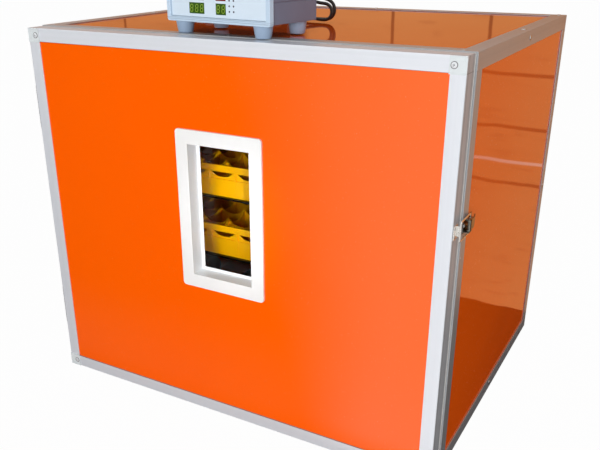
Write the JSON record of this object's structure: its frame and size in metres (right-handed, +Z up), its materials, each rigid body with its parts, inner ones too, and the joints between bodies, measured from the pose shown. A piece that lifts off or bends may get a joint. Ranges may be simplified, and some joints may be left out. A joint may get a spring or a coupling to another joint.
{
  "type": "egg incubator",
  "caption": "Small cabinet egg incubator: sandwich panels in aluminium angles, hinged front door with window and toggle latch, two tilting tray layers, controller on top.",
  "frame": {"origin": "middle of the underside, halfway between the door's front and the back", "axes": "+Z up, the door faces -Y, +X towards the latch side"},
  "size_m": [0.6364, 0.5106, 0.6414],
  "materials": {
    "orange_laminate": "gloss",
    "anodised_aluminium": "satin",
    "white_abs": "satin",
    "white_seal": "matte",
    "clear_pane": "gloss",
    "nickel": "gloss",
    "zinc_steel": "satin",
    "yellow_tray": "satin",
    "nylon": "matte",
    "stainless": "satin",
    "black_plastic": "matte",
    "motor_steel": "satin",
    "controller_grey": "satin",
    "controller_white": "satin",
    "blue_grey_foot": "satin",
    "display": "gloss",
    "lamp_red": "gloss",
    "key_grey": "satin",
    "board_green": "satin",
    "black_cord": "satin"
  },
  "bodies": {
    "cabinet": {"left_panel": "orange_laminate", "right_panel": "orange_laminate", "top_panel": "orange_laminate", "bottom_panel": "orange_laminate", "rear_panel": "orange_laminate", "crosswise_angles": "anodised_aluminium", "side_angles": "anodised_aluminium", "upright_angles": "anodised_aluminium", "cabinet_screws": "nickel", "cabinet_hinge_leaves": "nickel", "latch_base": "nickel", "pivot_bushes": "nylon", "motor_bracket": "zinc_steel", "turning_motor": "motor_steel", "fan_frame": "black_plastic", "fan_guard": "stainless", "heater_tube": "stainless", "water_pan": "white_abs", "temperature_probe": "stainless", "vent_body": "white_abs", "controller_case": "controller_grey", "controller_bezel": "controller_white", "controller_panel": "controller_white", "controller_feet": "blue_grey_foot", "displays": "display", "indicator_lamps": "lamp_red", "control_board": "board_green", "rear_plate": "anodised_aluminium", "switch_housing": "black_plastic", "cord_boots": "black_cord", "mains_lead": "black_cord", "mains_coil": "black_cord", "mains_plug": "black_plastic", "harness_cable": "black_cord", "cable_elbow": "black_plastic"},
    "door": {"door_panel": "orange_laminate", "door_frame_bars": "anodised_aluminium", "door_corner_caps": "white_abs", "door_screws": "nickel", "door_seal": "white_seal", "window_bezel": "white_abs", "window_inner_frame": "white_abs", "window_panes": "clear_pane", "door_hinge_leaves": "nickel", "latch_catch": "nickel"},
    "latch_lever": {"latch_lever": "nickel"},
    "latch_bail": {"latch_bail": "nickel"},
    "lower_carrier": {"lower_tray_carrier": "zinc_steel", "lower_egg_tray": "yellow_tray"},
    "upper_carrier": {"upper_tray_carrier": "zinc_steel", "upper_egg_tray": "yellow_tray"},
    "crank": {"crank": "zinc_steel"},
    "link_bar": {"link_bar": "zinc_steel"},
    "fan_rotor": {"fan_rotor": "black_plastic"},
    "vent_shutter": {"vent_shutter": "white_abs"},
    "power_rocker": {"power_rocker": "black_plastic"},
    "key_1": {"key_1": "key_grey"},
    "key_2": {"key_2": "key_grey"},
    "key_3": {"key_3": "key_grey"},
    "key_4": {"key_4": "key_grey"}
  },
  "joints": [
    {"name": "door_hinge", "type": "hinge", "parent": "cabinet", "child": "door", "pos_m": [-0.3141, -0.2235, 0.2675], "axis": [0, 0, -1], "range_deg": [0, 160]},
    {"name": "latch_lever_pivot", "type": "hinge", "parent": "cabinet", "child": "latch_lever", "pos_m": [0.3149, -0.2135, 0.344], "axis": [0, 0, -1], "range_deg": [0, 150]},
    {"name": "latch_bail_pivot", "type": "hinge", "parent": "latch_lever", "child": "latch_bail", "pos_m": [0.3137, -0.2055, 0.344], "axis": [0, 0, 1], "range_deg": [0, 172.5]},
    {"name": "lower_tilt", "type": "hinge", "parent": "cabinet", "child": "lower_carrier", "pos_m": [0, 0.00094, 0.236], "axis": [1, 0, 0], "range_deg": [-45, 45]},
    {"name": "upper_tilt", "type": "hinge", "parent": "cabinet", "child": "upper_carrier", "pos_m": [0, 0.00094, 0.325], "axis": [1, 0, 0], "range_deg": [-45, 45]},
    {"name": "crank_turn", "type": "hinge", "parent": "cabinet", "child": "crank", "pos_m": [-0.2611, 0.00094, 0.095], "axis": [1, 0, 0], "range_deg": [-45, 45]},
    {"name": "link_pin", "type": "hinge", "parent": "lower_carrier", "child": "link_bar", "pos_m": [-0.2655, -0.04406, 0.236], "axis": [1, 0, 0], "range_deg": [-45, 45]},
    {"name": "fan_spin", "type": "hinge", "parent": "cabinet", "child": "fan_rotor", "pos_m": [0, 0.1987, 0.435], "axis": [0, 1, 0], "continuous": true},
    {"name": "vent_turn", "type": "hinge", "parent": "cabinet", "child": "vent_shutter", "pos_m": [0.17, 0.25315, 0.44], "axis": [0, 1, 0], "range_deg": [0, 45]},
    {"name": "power_rock", "type": "hinge", "parent": "cabinet", "child": "power_rocker", "pos_m": [0.05234, -0.14295, 0.597], "axis": [0.9906, -0.1366, 0], "range_deg": [0, 18]},
    {"name": "key_1_press", "type": "slide", "parent": "cabinet", "child": "key_1", "axis": [0.1366, 0.9906, 0], "range_m": [0, 0.001], "stiffness_N_per_m": 250},
    {"name": "key_2_press", "type": "slide", "parent": "cabinet", "child": "key_2", "axis": [0.1366, 0.9906, 0], "range_m": [0, 0.001], "stiffness_N_per_m": 250},
    {"name": "key_3_press", "type": "slide", "parent": "cabinet", "child": "key_3", "axis": [0.1366, 0.9906, 0], "range_m": [0, 0.001], "stiffness_N_per_m": 250},
    {"name": "key_4_press", "type": "slide", "parent": "cabinet", "child": "key_4", "axis": [0.1366, 0.9906, 0], "range_m": [0, 0.001], "stiffness_N_per_m": 250}
  ],
  "couplings": [
    {"joint": "latch_bail_pivot", "follows": "latch_lever_pivot", "ratio": 1.15},
    {"joint": "upper_tilt", "follows": "lower_tilt", "ratio": 1},
    {"joint": "crank_turn", "follows": "lower_tilt", "ratio": 1},
    {"joint": "link_pin", "follows": "lower_tilt", "ratio": -1}
  ]
}
